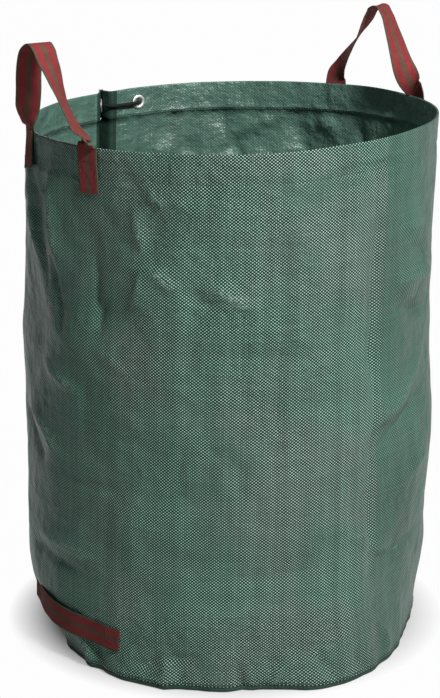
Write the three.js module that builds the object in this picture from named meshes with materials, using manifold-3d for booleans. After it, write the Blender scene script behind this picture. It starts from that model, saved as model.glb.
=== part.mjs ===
import * as THREE from "three";
import { mergeVertices } from "three/addons/utils/BufferGeometryUtils.js";
import Module from "manifold-3d";

const wasm = await Module();
wasm.setup();

// Driving dimensions of the tub, in millimetres and degrees
const mouthDiameter = 670;
const baseDiameter = 666;
const bagHeight = 870;
const sideBulge = 5;
const mouthShift = 11;
const mouthTilt = 1.6;

// Cloth, hem and base seam
const cloth = 1;
const sewnGap = 0.3;
const hemDepth = 50;
const hoopThickness = 1.2;
const hoopHeight = 34;
const seamHeight = 8;
const seamAllowance = 10;
const baseCorner = 4;

// Side seam: the panel's two ends turn out of the wall as a cleft and a sewn fin
const seamAngle = 131.5;
const cleftMouth = 28;
const cleftFlank = 34;
const cleftLean = 40;
const cleftCorner = 5;
const finWidth = 8;
const cleftAtBase = 0.4;
const spreadTaper = 60;

// Webbing
const webWidth = 40;
const webThickness = 1.8;
const webEdge = 0.5;
const sewnLength = 72;
const rimLift = 0.4;

// Eyelets and cord
const flangeRadius = 12.6;
const boreRadius = 6.2;
const tubeWall = 0.7;
const flangeHeight = 1.6;
const washerHeight = 0.8;
const lipHeight = 0.9;
const lipOverlap = 1.8;
const rightEyeletAngle = 119.6;
const leftEyeletReach = 17;
const eyeletDrop = 25;
const cordRadius = 2.9;
const knotRadius = 8;

// Fineness of the facets
const arcSteps = 64;
const ringSteps = 24;
const baseSteps = 80;
const webSteps = 52;
const cordSteps = 48;

// Sizes that follow from the ones above
const mouthRadius = mouthDiameter / 2;
const baseRadius = baseDiameter / 2;
const pocket = hoopThickness + 2 * sewnGap;
const hemStack = 2 * cloth + pocket;
const turnStack = 2 * cloth + sewnGap;
const facetSag = mouthRadius * (1 - Math.cos(Math.PI / arcSteps));
const hemEdge = bagHeight - hemDepth;
const tubeRadius = boreRadius + tubeWall;
const lipTop = 2 * sewnGap + washerHeight + lipHeight;
const lipMouth = boreRadius + lipHeight / 2;
const knotOut = lipTop - lipHeight / 2 + Math.sqrt((knotRadius + sewnGap) ** 2 - boreRadius ** 2);
const holeRadius = tubeRadius + sewnGap;

const rad = THREE.MathUtils.degToRad;
const lerp = THREE.MathUtils.lerp;
const ease = THREE.MathUtils.smoothstep;

// Shape of the upright tub
function wallRadius(z) {
  const share = z / bagHeight;
  return lerp(baseRadius, mouthRadius, share) + sideBulge * Math.sin(Math.PI * share);
}

function wallSlope(z) {
  return (wallRadius(z + 1) - wallRadius(z - 1)) / 2;
}

function outward(angle) {
  return new THREE.Vector3(Math.cos(rad(angle)), Math.sin(rad(angle)), 0);
}

function along(angle) {
  return new THREE.Vector3(-Math.sin(rad(angle)), Math.cos(rad(angle)), 0);
}

function onWall(angle, z, out) {
  return outward(angle).multiplyScalar(wallRadius(z) + out).setZ(z);
}

// The cleft is as deep as drawn at the hem and fades towards the base
function cleftScale(z) {
  return lerp(cleftAtBase, 1, ease(z, 0, hemEdge));
}

// Half the thickness that the sewn fin needs at each height
function finSpread(z) {
  const plain = cloth + sewnGap / 2;
  const top = (hemStack - cloth) * ease(z, hemEdge - spreadTaper, hemEdge - 2 * cloth);
  const turnTop = seamHeight + seamAllowance;
  const low = (turnStack - cloth) * (1 - ease(z, turnTop + 2 * cloth, turnTop + spreadTaper));
  return plain + Math.max(top, low);
}

// A point near the side seam: across it along the wall, and out from the wall
function seamPoint(z, across, out) {
  const reach = outward(seamAngle).multiplyScalar(wallRadius(z) + out);
  return reach.addScaledVector(along(seamAngle), across).setZ(z);
}

function cleftCorners(z) {
  const scale = cleftScale(z);
  const half = cleftMouth / 2 * scale;
  const setBack = cleftCorner * scale;
  const spread = 2 * finSpread(z);
  const lean = rad(cleftLean);
  const way = new THREE.Vector2(-Math.sin(lean), Math.cos(lean));
  const side = new THREE.Vector2(Math.cos(lean), Math.sin(lean));
  const left = new THREE.Vector2(half, -(half ** 2) / (2 * wallRadius(z)));
  const right = new THREE.Vector2(-half, left.y);
  const leftEnd = left.clone().addScaledVector(way, cleftFlank * scale);
  const rightEnd = leftEnd.clone().addScaledVector(side, -spread);
  return { half, setBack, way, side, left, right, leftEnd, rightEnd };
}

function rounded(before, corner, after, steps) {
  const bend = new THREE.QuadraticBezierCurve3(before, corner, after);
  return bend.getPoints(steps);
}

// The outer face of the panel at one height, from one seam edge round to the other
function panelPath(z) {
  const c = cleftCorners(z);
  const place = (v) => seamPoint(z, v.x, v.y);
  const beside = (from, to, distance) => from.clone().add(to.clone().sub(from).setLength(distance));
  const start = THREE.MathUtils.radToDeg((c.half + c.setBack) / wallRadius(z));
  const arc = [];
  for (let i = 1; i < arcSteps; i++) {
    arc.push(onWall(seamAngle + lerp(start, 360 - start, i / arcSteps), z, 0));
  }
  const leftTurn = rounded(
    place(beside(c.left, c.leftEnd, c.setBack)), place(c.left), onWall(seamAngle + start, z, 0), 4);
  const rightTurn = rounded(
    onWall(seamAngle - start, z, 0), place(c.right), place(beside(c.right, c.rightEnd, c.setBack)), 4);
  const bend = cleftCorner / 2 * cleftScale(z);
  const finTurn = rounded(
    place(beside(c.rightEnd, c.right, bend)), place(c.rightEnd),
    place(c.rightEnd.clone().addScaledVector(c.way, bend)), 2);
  const leftTip = place(c.leftEnd.clone().addScaledVector(c.way, finWidth));
  const rightTip = place(c.rightEnd.clone().addScaledVector(c.way, finWidth));
  return [leftTip, place(c.leftEnd), ...leftTurn, ...arc, ...rightTurn, ...finTurn, rightTip];
}

// Outward directions along a flat path, long enough to keep an offset layer's thickness
function pathNormals(path) {
  const face = (a, b) => new THREE.Vector3(b.y - a.y, a.x - b.x, 0).normalize();
  return path.map((point, i) => {
    const before = face(path[Math.max(i - 1, 0)], path[Math.max(i, 1)]);
    const last = path.length - 1;
    const after = face(path[Math.min(i, last - 1)], path[Math.min(i + 1, last)]);
    const middle = before.clone().add(after).normalize();
    return middle.divideScalar(middle.dot(before));
  });
}

// Closed solid through a row of rings. A ring runs up one face of a strip and back down the
// other with as many points, so each end is closed by pairing them, and the two faces are split
// along the same diagonals, which keeps a twisted strip's thickness
function loft(rings) {
  const count = rings[0].length;
  const last = (rings.length - 1) * count;
  const index = [];
  for (let i = 0; i < rings.length - 1; i++) {
    for (let j = 0; j < count; j++) {
      const a = i * count + j;
      const b = i * count + (j + 1) % count;
      if (j < count / 2) {
        index.push(a, b, b + count, a, b + count, a + count);
      } else {
        index.push(a, b, a + count, b, b + count, a + count);
      }
    }
  }
  for (let k = 0; k < count / 2 - 1; k++) {
    const across = count - 1 - k;
    index.push(k, across, across - 1, k, across - 1, k + 1);
    index.push(last + k, last + across - 1, last + across, last + k, last + k + 1, last + across - 1);
  }
  const geometry = new THREE.BufferGeometry();
  const positions = rings.flat().flatMap((p) => [p.x, p.y, p.z]);
  geometry.setAttribute("position", new THREE.Float32BufferAttribute(positions, 3));
  geometry.setIndex(index);
  return facingOut(geometry);
}

function facingOut(geometry) {
  const index = geometry.getIndex();
  const corner = (i) => new THREE.Vector3().fromBufferAttribute(geometry.getAttribute("position"), index.getX(i));
  let volume = 0;
  for (let i = 0; i < index.count; i += 3) {
    volume += corner(i).dot(corner(i + 1).cross(corner(i + 2)));
  }
  if (volume < 0) {
    for (let i = 0; i < index.count; i += 3) {
      const kept = index.getX(i);
      index.setX(i, index.getX(i + 1));
      index.setX(i + 1, kept);
    }
  }
  return geometry;
}

// Sweep an outline of inward depths and heights along a stretch of the panel's path
function sweepAlongPanel(outline, first, last) {
  const rows = outline.map((spot) => {
    const path = panelPath(spot.y);
    const normals = pathNormals(path);
    return path.map((point, i) => point.clone().addScaledVector(normals[i], -spot.x));
  });
  const end = last < 0 ? rows[0].length + last : last;
  const rings = [];
  for (let i = first; i <= end; i++) {
    rings.push(rows.map((row) => row[i]));
  }
  return loft(rings);
}

// Bare points with the doubles at seams and caps taken out, done before a shape is moved
function welded(geometry) {
  geometry.deleteAttribute("normal");
  geometry.deleteAttribute("uv");
  return mergeVertices(geometry, 1e-4);
}

function toSolid(geometry) {
  return new wasm.Manifold(new wasm.Mesh({
    numProp: 3,
    vertProperties: new Float32Array(geometry.getAttribute("position").array),
    triVerts: new Uint32Array(geometry.getIndex().array),
  }));
}

function toGeometry(solid) {
  const mesh = solid.getMesh();
  const geometry = new THREE.BufferGeometry();
  geometry.setAttribute("position", new THREE.BufferAttribute(mesh.vertProperties, 3));
  geometry.setIndex(new THREE.BufferAttribute(mesh.triVerts, 1));
  return geometry;
}

function joined(...geometries) {
  return toGeometry(geometries.map(toSolid).reduce((whole, piece) => whole.add(piece)));
}

function cutBy(geometry, ...tools) {
  return toGeometry(tools.map(toSolid).reduce((whole, tool) => whole.subtract(tool), toSolid(geometry)));
}

// The cloth in section: plain wall, hem turned in over the hoop, bottom edge turned in
function panelOutline() {
  const spot = (depth, z) => new THREE.Vector2(depth, z);
  const round = (depth, z, radius, from, to, steps) => {
    const points = [];
    for (let i = 0; i <= steps; i++) {
      const a = rad(lerp(from, to, i / steps));
      points.push(spot(depth + radius * Math.cos(a), z + radius * Math.sin(a)));
    }
    return points;
  };
  const hemTurn = bagHeight - hemStack / 2;
  const lowTurn = seamHeight + turnStack / 2;
  const turnTop = seamHeight + seamAllowance;
  const heights = [turnTop + 2 * cloth, turnTop + spreadTaper];
  for (const share of [0.3, 0.5, 0.7]) {
    heights.push(share * bagHeight);
  }
  heights.push(hemEdge - spreadTaper, hemEdge - spreadTaper / 2, hemEdge - 2 * cloth);
  const outer = [
    spot(turnStack, turnTop),
    ...round(turnStack / 2, lowTurn, turnStack / 2, 0, -180, 4),
    ...heights.map((z) => spot(0, z)),
    ...round(hemStack / 2, hemTurn, hemStack / 2, 180, 0, 4),
    spot(hemStack, hemEdge),
  ];
  const inner = [
    spot(cloth + sewnGap, turnTop),
    ...round(turnStack / 2, lowTurn, sewnGap / 2, 0, -180, 4),
    ...heights.map((z) => spot(cloth, z)),
    ...round(hemStack / 2, hemTurn, pocket / 2, 180, 0, 4),
    spot(hemStack - cloth, hemEdge),
  ];
  return [...outer, ...inner.toReversed()];
}

// Where each eyelet goes through the hem, and the way it points out of the bag
function eyeletSeats() {
  const z = bagHeight - eyeletDrop;
  const c = cleftCorners(z);
  const leftSpot = c.left.clone().addScaledVector(c.way, leftEyeletReach);
  const acrossFlank = along(seamAngle).multiplyScalar(c.side.x).addScaledVector(outward(seamAngle), c.side.y);
  const square = (axis, angle) => {
    const rise = outward(angle).multiplyScalar(wallSlope(z)).setZ(1).normalize();
    return axis.addScaledVector(rise, -axis.dot(rise)).normalize();
  };
  return {
    right: {
      point: onWall(rightEyeletAngle, z, 0),
      axis: square(outward(rightEyeletAngle), rightEyeletAngle),
      sag: facetSag,
    },
    left: {
      point: seamPoint(z, leftSpot.x, leftSpot.y),
      axis: square(acrossFlank, seamAngle),
      sag: 0,
    },
  };
}

function pointAlong(geometry, seat) {
  const turn = new THREE.Quaternion().setFromUnitVectors(new THREE.Vector3(0, 1, 0), seat.axis);
  return geometry.applyQuaternion(turn).translate(seat.point.x, seat.point.y, seat.point.z);
}

function revolved(profile) {
  const points = [...profile, profile[0]].map(([r, h]) => new THREE.Vector2(r, h));
  return facingOut(welded(new THREE.LatheGeometry(points, ringSteps)));
}

function eyeletHole(seat) {
  const length = hemStack + 4 * cloth;
  const hole = welded(new THREE.CylinderGeometry(holeRadius, holeRadius, length, ringSteps));
  return pointAlong(hole.translate(0, -hemStack / 2, 0), seat);
}

function eyelet(seat) {
  const seatGap = sewnGap + seat.sag + flangeRadius ** 2 / (2 * mouthRadius);
  const under = -hemStack - seatGap;
  const face = under - flangeHeight;
  const lip = lipTop - lipHeight;
  const lipRadius = tubeRadius + lipOverlap;
  const crown = (flangeRadius + boreRadius) / 2;
  const profile = [
    [boreRadius, face + flangeHeight * 0.6],
    [boreRadius, lipTop - lipHeight * 0.5],
    [lipMouth, lipTop],
    [lipRadius - lipHeight * 0.3, lipTop],
    [lipRadius, lipTop - lipHeight * 0.4],
    [lipRadius, lip],
    [tubeRadius, lip],
    [tubeRadius, under],
    [flangeRadius, under],
    [flangeRadius, under - flangeHeight * 0.3],
    [flangeRadius - flangeHeight * 0.6, face + flangeHeight * 0.15],
    [crown, face],
    [boreRadius + flangeHeight * 0.5, face + flangeHeight * 0.1],
  ];
  return pointAlong(revolved(profile), seat);
}

function washer(seat) {
  const profile = [
    [holeRadius, sewnGap],
    [flangeRadius, sewnGap],
    [flangeRadius, sewnGap + washerHeight * 0.5],
    [flangeRadius - washerHeight * 0.6, sewnGap + washerHeight],
    [holeRadius, sewnGap + washerHeight],
  ];
  return pointAlong(revolved(profile), seat);
}

function sideWall() {
  const seats = eyeletSeats();
  const panel = sweepAlongPanel(panelOutline(), 0, -1);
  return cutBy(panel, eyeletHole(seats.right), eyeletHole(seats.left));
}

// Flat strip in the hem pocket, its two ends stopping short of the cleft
function hoop() {
  const middle = bagHeight - eyeletDrop;
  const outer = cloth + sewnGap;
  const inner = outer + hoopThickness;
  const low = middle - hoopHeight / 2;
  const high = middle + hoopHeight / 2;
  const outline = [
    new THREE.Vector2(outer, low), new THREE.Vector2(inner, low),
    new THREE.Vector2(inner, high), new THREE.Vector2(outer, high),
  ];
  const firstOnArc = 7;
  const strip = sweepAlongPanel(outline, firstOnArc, firstOnArc + arcSteps - 2);
  return cutBy(strip, eyeletHole(eyeletSeats().right));
}

// Round bottom: flat on the ground, turned up at its edge and joggled in under the wall
function basePanel() {
  const skirtOut = baseRadius - turnStack - sewnGap - facetSag;
  const skirtIn = skirtOut - cloth;
  const shelf = seamHeight - sewnGap;
  const skirtTop = seamHeight + seamAllowance;
  const profile = [new THREE.Vector2(0, 0)];
  const bend = (radius, from, to) => {
    for (let i = 0; i <= 4; i++) {
      const a = rad(lerp(from, to, i / 4));
      const r = baseRadius - baseCorner + radius * Math.cos(a);
      profile.push(new THREE.Vector2(r, baseCorner + radius * Math.sin(a)));
    }
  };
  bend(baseCorner, -90, 0);
  profile.push(new THREE.Vector2(baseRadius, shelf), new THREE.Vector2(skirtOut, shelf));
  profile.push(new THREE.Vector2(skirtOut, skirtTop), new THREE.Vector2(skirtIn, skirtTop));
  profile.push(new THREE.Vector2(skirtIn, shelf - cloth));
  profile.push(new THREE.Vector2(baseRadius - cloth, shelf - cloth));
  bend(baseCorner - cloth, 0, -90);
  profile.push(new THREE.Vector2(0, cloth));
  return facingOut(welded(new THREE.LatheGeometry(profile, baseSteps)).rotateX(Math.PI / 2));
}

// A strap from stations that give its middle and the way its width lies
function strap(stations) {
  const route = new THREE.CatmullRomCurve3(stations.map((s) => s.point), false, "centripetal");
  const lengths = stations.length - 1;
  const halfWidth = webWidth / 2;
  const halfThick = webThickness / 2;
  const outline = [
    [-halfWidth + webEdge, -halfThick], [halfWidth - webEdge, -halfThick],
    [halfWidth, -halfThick + webEdge], [halfWidth, halfThick - webEdge],
    [halfWidth - webEdge, halfThick], [-halfWidth + webEdge, halfThick],
    [-halfWidth, halfThick - webEdge], [-halfWidth, -halfThick + webEdge],
  ].map(([w, t]) => new THREE.Vector2(w, t));
  const rings = [];
  for (let i = 0; i <= webSteps; i++) {
    const t = i / webSteps;
    const at = Math.min(Math.floor(t * lengths), lengths - 1);
    const share = ease(t * lengths - at, 0, 1);
    const middle = route.getPoint(t);
    const forward = route.getTangent(t);
    const across = stations[at].across.clone().lerp(stations[at + 1].across, share);
    across.addScaledVector(forward, -across.dot(forward)).normalize();
    const face = new THREE.Vector3().crossVectors(forward, across);
    rings.push(outline.map((v) => middle.clone().addScaledVector(across, v.x).addScaledVector(face, v.y)));
  }
  return loft(rings);
}

// A loop sewn to the outside of the wall at two places; each station of the free part has its
// share of the half span along the rim, its height and lean in millimetres, and its turn in degrees
function mouthHandle(middleAngle, halfSpan, freeStations) {
  const across = along(middleAngle);
  const out = outward(middleAngle);
  const seat = sewnGap + webThickness / 2;
  const halfChord = mouthRadius * Math.sin(rad(halfSpan));
  const footing = out.clone().multiplyScalar(mouthRadius * Math.cos(rad(halfSpan)) + seat);
  const leg = (angle, turn, heights) => heights.map((z) => ({
    point: onWall(angle, z, z > bagHeight ? seat + rimLift : seat),
    across: along(angle).multiplyScalar(turn),
  }));
  const sewn = [bagHeight - sewnLength, bagHeight - sewnLength / 2, bagHeight - 12];
  const atRim = bagHeight + 2;
  const free = freeStations.map(([share, height, lean, turn]) => ({
    point: footing.clone().addScaledVector(across, share * halfChord).addScaledVector(out, lean)
      .setZ(bagHeight + height),
    across: across.clone().multiplyScalar(Math.cos(rad(turn))).addScaledVector(out, Math.sin(rad(turn))),
  }));
  return strap([
    ...leg(middleAngle - halfSpan, -1, [...sewn, atRim]),
    ...free,
    ...leg(middleAngle + halfSpan, 1, [atRim, ...sewn.toReversed()]),
  ]);
}

function leftHandle() {
  return mouthHandle(213.75, 15.25, [
    [-1, 16, 3, 168],
    [-0.94, 32, 6, 142],
    [-0.81, 50, 11, 120],
    [-0.66, 74, 16, 108],
    [-0.46, 115, 25, 100],
    [-0.22, 144, 29, 93],
    [0.06, 147, 29, 90],
    [0.24, 114, 22, 76],
    [0.36, 84, 16, 62],
    [0.54, 56, 11, 52],
    [0.72, 40, 9, 50],
    [0.9, 27, 7, 40],
    [0.99, 15, 4, 14],
  ]);
}

function rightHandle() {
  return mouthHandle(38.75, 18.25, [
    [-0.99, 15, 3, 172],
    [-0.88, 28, 5, 152],
    [-0.72, 42, 5, 124],
    [-0.56, 58, 4, 100],
    [-0.4, 80, 5, 82],
    [-0.2, 110, 9, 73],
    [0.07, 138, 12, 68],
    [0.34, 122, 12, 76],
    [0.48, 97, 10, 68],
    [0.62, 76, 8, 56],
    [0.79, 53, 6, 44],
    [0.92, 33, 3.5, 32],
    [0.98, 16, 1, 12],
  ]);
}

// Grip low on the wall: two sewn ends and a slack middle that stands off for the fingers
function lowerHandle() {
  const middleAngle = 217.75;
  const halfSpan = 21.25;
  const freeShare = 0.76;
  const middleHeight = 75;
  const endRise = 9.5;
  const standOff = 10;
  const slackAt = 0.12;
  const count = 20;
  const seat = sewnGap + webThickness / 2 + facetSag;
  const stations = [];
  for (let i = 0; i <= count; i++) {
    const share = lerp(-1, 1, i / count);
    const away = Math.min(Math.abs(share + slackAt * (1 - share ** 2)) / freeShare, 1);
    const z = middleHeight - share * endRise;
    const angle = middleAngle + share * halfSpan;
    stations.push({
      point: onWall(angle, z, seat + standOff * (1 - away ** 2) ** 2),
      across: outward(angle).multiplyScalar(wallSlope(z)).setZ(1).normalize(),
    });
  }
  return strap(stations);
}

// The cord: a stopper knot outside each eyelet, and a taut run across the cleft inside
function lashingCord() {
  const seats = eyeletSeats();
  const fromSeat = (seat, out, sink) => seat.point.clone().addScaledVector(seat.axis, out)
    .add(new THREE.Vector3(0, 0, -sink));
  const z = bagHeight - eyeletDrop;
  const route = [
    fromSeat(seats.right, 26, 12), fromSeat(seats.right, 18, 4), fromSeat(seats.right, 10, 0),
    fromSeat(seats.right, 0, 0), fromSeat(seats.right, -7, 0),
    onWall(121.4, z, -13), onWall(123.6, z, -14), onWall(126, z, -13),
    onWall(128, z, -11), seamPoint(z, -9, -8.5), seamPoint(z, -4.5, -2),
    fromSeat(seats.left, -7, 0), fromSeat(seats.left, 0, 0), fromSeat(seats.left, 8, 0),
    fromSeat(seats.left, 16, 4), fromSeat(seats.left, 24, 12),
  ];
  const curve = new THREE.CatmullRomCurve3(route, false, "centripetal");
  const section = new THREE.Shape().absarc(0, 0, cordRadius, 0, 2 * Math.PI);
  const tube = welded(new THREE.ExtrudeGeometry(section, {
    steps: cordSteps, curveSegments: 5, bevelEnabled: false, extrudePath: curve,
  }));
  const knots = [fromSeat(seats.right, knotOut, 0), fromSeat(seats.left, knotOut, 0)].map((spot) =>
    welded(new THREE.SphereGeometry(knotRadius, 14, 10)).translate(spot.x, spot.y, spot.z));
  return joined(tube, ...knots);
}

// The filled-out bag doesn't stand quite true: its mouth leans right and its right side is higher
function settled(geometry) {
  const points = geometry.getAttribute("position");
  for (let i = 0; i < points.count; i++) {
    const rise = points.getZ(i) / bagHeight;
    const x = points.getX(i);
    points.setX(i, x + mouthShift * rise);
    points.setZ(i, points.getZ(i) + rise * x * Math.tan(rad(mouthTilt)));
  }
  return geometry;
}

const clothFinish = { color: 0x4d7560, roughness: 0.55, metalness: 0 };
const webFinish = { color: 0x8f3d44, roughness: 0.8, metalness: 0 };
const steelFinish = { color: 0xc4c6c8, roughness: 0.3, metalness: 1 };
const hoopFinish = { color: 0x2b2e2c, roughness: 0.5, metalness: 0 };
const cordFinish = { color: 0x121313, roughness: 0.85, metalness: 0 };

const bag = new THREE.Group();

function place(name, geometry, finish) {
  const mesh = new THREE.Mesh(settled(geometry), new THREE.MeshStandardMaterial(finish));
  mesh.name = name;
  bag.add(mesh);
}

const seats = eyeletSeats();
place("side_wall", sideWall(), clothFinish);
place("base_panel", basePanel(), clothFinish);
place("hoop", hoop(), hoopFinish);
place("left_handle", leftHandle(), webFinish);
place("right_handle", rightHandle(), webFinish);
place("lower_handle", lowerHandle(), webFinish);
place("right_eyelet", eyelet(seats.right), steelFinish);
place("right_eyelet_washer", washer(seats.right), steelFinish);
place("left_eyelet", eyelet(seats.left), steelFinish);
place("left_eyelet_washer", washer(seats.left), steelFinish);
place("lashing_cord", lashingCord(), cordFinish);

export default bag;
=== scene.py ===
import math
from collections import namedtuple

import bmesh
import bpy
import numpy as np
from mathutils import Matrix, Vector


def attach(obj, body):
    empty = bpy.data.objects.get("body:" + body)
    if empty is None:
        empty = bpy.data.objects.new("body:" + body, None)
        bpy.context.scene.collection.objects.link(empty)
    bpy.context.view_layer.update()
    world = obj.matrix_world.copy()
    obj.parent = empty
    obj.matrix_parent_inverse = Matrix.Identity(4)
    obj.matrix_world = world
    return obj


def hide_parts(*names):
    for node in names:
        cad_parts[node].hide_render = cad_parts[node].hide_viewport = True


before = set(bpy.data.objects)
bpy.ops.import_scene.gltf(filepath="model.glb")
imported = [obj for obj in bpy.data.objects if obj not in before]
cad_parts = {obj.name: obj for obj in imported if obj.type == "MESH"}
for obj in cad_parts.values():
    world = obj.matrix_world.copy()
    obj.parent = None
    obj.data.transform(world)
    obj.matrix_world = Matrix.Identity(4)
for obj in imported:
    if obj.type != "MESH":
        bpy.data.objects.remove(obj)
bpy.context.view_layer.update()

# The tub, in metres
MOUTH_RADIUS = 0.335
BASE_RADIUS = 0.333
BAG_HEIGHT = 0.870
SIDE_BULGE = 0.005
MOUTH_SHIFT = 0.011
MOUTH_TILT = math.radians(1.6)
SEAM_ANGLE = 131.5

# Cloth, hem and base seam
HEM_DEPTH = 0.050
HEM_STACK = 0.0038
HEM_LINE = BAG_HEIGHT - HEM_DEPTH + 0.004
HEM_GROOVE = 0.0016
HEM_PUCKER = 0.0013
INNER_FACE = 0.0022
CLOTH_TURN = 0.00115
SEAM_HEIGHT = 0.008
BASE_CLOTH = 0.001
BASE_CORNER = 0.004
BASE_LIP = 0.0078
BASE_ALLOWANCE = 0.017
FOOT_PLEAT = 0.0040
RIM_SAG = 0.0035
RIM_UNEVEN = 0.0012
RIM_WAVER = 0.0014
MOUTH_CALM = 0.75

# Weave: width of a tape round the bag and up it, and the edges along the cloth of the lit front, where the
# pale tapes carry painted glints; off it they are mixed toward a calmer colour, which on the outside is a
# painted shade
TAPE_ROUND = 0.0029
TAPE_UP = 0.0024
TAPE_BULGE = 0.00018
GLINT_START = 0.575
GLINT_FADE = 0.10
GLINT_END = 1.105
GLINT_END_FADE = 0.006

# Painted highlights on the fold crests: how high a fold starts to get one, and between which angles that
# gets less
FOLD_HIGHLIGHT_START = 0.0035
HIGHLIGHT_FADE_FROM = 304
HIGHLIGHT_FADE_TO = 312
HIGHLIGHT_LOSS = 0.8

# Cleft at the side seam, whose cloth ends stand out as two fins
CLEFT_MOUTH = 0.028
CLEFT_FLANK = 0.034
CLEFT_LEAN = math.radians(40)
CLEFT_CORNER = 0.005
CLEFT_AT_BASE = 0.4
FIN_WIDTH = 0.008
FIN_BACK = 0.0025
FIN_AT_HEM = HEM_STACK - 0.0012
FIN_AT_BASE = 0.0013
FLANK_MARGIN = 0.004

# Webbing
WEB_WIDTH = 0.040
WEB_THICKNESS = 0.0018
WEB_EDGE = 0.0004
WEB_SEAT = WEB_THICKNESS / 2 + 0.0009
SEWN_LENGTH = 0.072
REAR_SEWN_LENGTH = 0.055
GRIP_ANGLE = 217.75
GRIP_HALF_SPAN = 21.25
GRIP_HEIGHT = 0.075
GRIP_TILT = 0.0095
GRIP_GAP = 0.0005
GRIP_SLACK = 0.006
EDGE_STRIPE = 0.0165
MIDDLE_STRIPE = 0.0024
RIB_SPACING = 0.0014
PICK_SPACING = 0.0011

# Stitches
STITCH_SPACING = 0.005
STITCH_SHARE = 0.72
STITCH_RADIUS = 0.00045
TACK_SPACING = 0.0034
TACK_LENGTH = 0.0025
TACK_RADIUS = 0.00032
TACK_INSET = 0.004
TACK_START = 0.006
TACK_MARGIN = 0.022
GRIP_TACK = (0.005, 0.026)
STITCH_LIFT = 0.0002
BASE_STITCH_HEIGHT = 0.013

# Eyelets and cord
EYELET_DROP = 0.025
RIGHT_EYELET_ANGLE = 119.6
LEFT_EYELET_REACH = 0.017
FLANGE_RADIUS = 0.0126
FLANGE_DOME = 0.0015
BORE_RADIUS = 0.0062
TUBE_WALL = 0.0007
CORD_RADIUS = 0.0029
KNOT_OUT = 0.0071
KNOT_SIZE = 0.0019
KNOT_DEPTH = 0.0021

# Fineness of the meshes
ARC_COLUMNS = 332
OUTER_ROWS = 150
RIM_ROWS = 8
INNER_ROWS = 78
BASE_COLUMNS = 240
RING_STEPS = 56
MERGE_DISTANCE = 1e-6

# Camera: place, tilt below level, the photo's height and the focal length in its pixels
CAMERA_PLACE = (-0.009, -3.392, 1.464)
CAMERA_DROP = math.radians(16.33)
PHOTO_HEIGHT = 698
FOCAL_PIXELS = 2100
SENSOR_WIDTH = 36

# Lamps: name, place, the point aimed at, width and height, power in watts
LAMPS = [
    ("key", (1.85, -2.85, 3.3), (0.05, 0, 0.45), (0.7, 0.7), 240),
    ("right_fill", (3.6, -1.4, 0.8), (0, 0, 0.42), (1.2, 1.0), 10),
    ("top", (0.4, 0.6, 3.4), (0, 0.1, 0.6), (1.8, 1.6), 20),
    ("back_fill", (-1.2, 4.0, 2.0), (0, 0, 0.5), (1.6, 1.2), 22),
]
SKY_LIGHT = 0.12

# Floor: how far from the middle it is seen as it is, and how soon it fades to the background
FLOOR_HALF_SIZE = 40
FLOOR_DROP = 0.0002
SHADOW_REACH = 0.295
SHADOW_FADE = 0.082
BACKGROUND_LEVEL = 0.985

# Unevenness all over the wall: cells round the tub, cell height, seed, depth
RUMPLES = [
    (22, 0.13, 1, 0.0038),
    (58, 0.048, 2, 0.0019),
    (130, 0.021, 3, 0.0005),
]

# Broad swells and dents: angle, height, half width round, half height up, depth out of the wall
SWELLS = [
    (194, 0.00, 20, 0.056, -0.048),
    (217, 0.00, 13, 0.050, -0.008),
    (302, 0.00, 17, 0.110, 0.037),
    (262, 0.00, 14, 0.050, 0.006),
    (345, 0.00, 15, 0.120, -0.012),
    (252, 0.00, 12, 0.040, 0.005),
    (322, 0.13, 9, 0.060, -0.008),
    (2, 0.60, 30, 0.240, -0.010),
    (336, 0.50, 9, 0.110, -0.009),
    (347, 0.36, 12, 0.080, 0.008),
    (330, 0.27, 10, 0.060, 0.006),
    (338, 0.66, 12, 0.060, 0.006),
    (187, 0.45, 20, 0.220, 0.005),
    (231, 0.69, 13, 0.075, -0.010),
    (214, 0.70, 7, 0.130, 0.009),
    (222, 0.56, 8, 0.050, 0.007),
    (204, 0.57, 9, 0.090, -0.007),
    (250, 0.66, 9, 0.050, 0.007),
    (272, 0.61, 12, 0.050, 0.007),
    (285, 0.30, 16, 0.130, 0.006),
    (240, 0.33, 14, 0.110, -0.007),
    (212, 0.34, 10, 0.090, 0.007),
    (262, 0.20, 12, 0.060, -0.004),
    (60, 0.45, 20, 0.200, 0.008),
    (100, 0.30, 16, 0.160, -0.007),
    (20, 0.22, 14, 0.120, -0.007),
    (160, 0.25, 15, 0.130, 0.007),
    (84, 0.70, 7, 0.060, -0.009),
    (66, 0.76, 5, 0.050, 0.008),
    (104, 0.74, 7, 0.060, 0.006),
    (44, 0.72, 8, 0.070, -0.007),
]

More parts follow.
